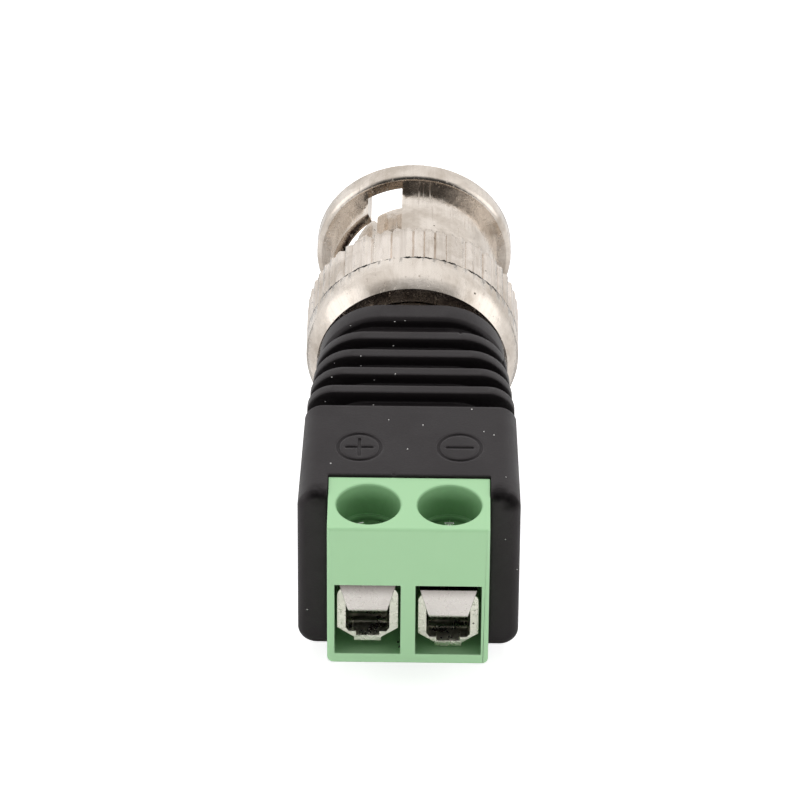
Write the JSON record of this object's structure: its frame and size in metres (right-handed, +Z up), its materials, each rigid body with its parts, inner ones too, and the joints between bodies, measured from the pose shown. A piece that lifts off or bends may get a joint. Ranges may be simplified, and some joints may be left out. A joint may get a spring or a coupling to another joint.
{
  "type": "coaxial plug to screw terminal adapter",
  "caption": "Adapter from a screw terminal block for bare wires to a coaxial bayonet plug, with a ribbed moulded body and a turning, spring-loaded coupling nut",
  "frame": {"origin": "under the middle of the adapter, at the height of its lowest point, the coupling nut's knurl", "axes": "+Y runs along the plug's axis from the wire side to the plug's mouth, +Z is up with the screws on top, and +X points to the negative pole, on the right as seen from the wire side"},
  "size_m": [0.014, 0.039, 0.014],
  "materials": {
    "black_plastic": "satin moulded",
    "green_plastic": "satin moulded",
    "nickel": "nickel plated",
    "clamp_metal": "nickel plated brass",
    "screw_steel": "zinc plated steel",
    "pin_metal": "gold flashed brass",
    "spring_steel": "spring steel",
    "copper": "tinned copper",
    "white_plastic": "moulded",
    "sleeve_plastic": "extruded",
    "gasket_rubber": "silicone"
  },
  "bodies": {
    "body": {"body_shell": "black_plastic", "terminal_housing": "green_plastic", "current_bar_positive": "clamp_metal", "current_bar_negative": "clamp_metal", "signal_lead": "copper", "signal_lead_sleeve": "sleeve_plastic", "ground_lead": "copper", "plug_core": "nickel", "outer_contact": "nickel", "front_insulator": "white_plastic", "rear_insulator": "white_plastic", "centre_pin": "pin_metal", "gasket": "gasket_rubber", "wave_washer": "spring_steel", "ground_tag": "clamp_metal"},
    "thrust_washer": {"thrust_washer": "spring_steel"},
    "nut": {"coupling_nut": "nickel"},
    "screw_positive": {"clamp_screw_positive": "screw_steel"},
    "cage_positive": {"clamp_cage_positive": "clamp_metal"},
    "screw_negative": {"clamp_screw_negative": "screw_steel"},
    "cage_negative": {"clamp_cage_negative": "clamp_metal"}
  },
  "joints": [
    {"name": "nut_pull", "type": "slide", "parent": "body", "child": "thrust_washer", "axis": [0, 1, 0], "range_m": [0, 0.0005], "stiffness_N_per_m": 4000, "springref_m": -0.0005, "deforming": ["wave_washer"]},
    {"name": "nut_turn", "type": "hinge", "parent": "thrust_washer", "child": "nut", "pos_m": [0, 0.0125, 0.007], "axis": [0, 1, 0], "continuous": true},
    {"name": "screw_positive_turn", "type": "hinge", "parent": "body", "child": "screw_positive", "pos_m": [-0.00254, -0.0169, 0.0104], "axis": [0, 0, -1], "range_deg": [0, 1120.1]},
    {"name": "cage_positive_rise", "type": "slide", "parent": "body", "child": "cage_positive", "axis": [0, 0, 1], "range_m": [0, 0.0014]},
    {"name": "screw_negative_turn", "type": "hinge", "parent": "body", "child": "screw_negative", "pos_m": [0.00254, -0.0169, 0.0104], "axis": [0, 0, -1], "range_deg": [0, 1120.1]},
    {"name": "cage_negative_rise", "type": "slide", "parent": "body", "child": "cage_negative", "axis": [0, 0, 1], "range_m": [0, 0.0014]}
  ],
  "couplings": [
    {"joint": "screw_positive_turn", "follows": "cage_positive_rise", "rad_per_m": 13963},
    {"joint": "screw_negative_turn", "follows": "cage_negative_rise", "rad_per_m": 13963}
  ]
}
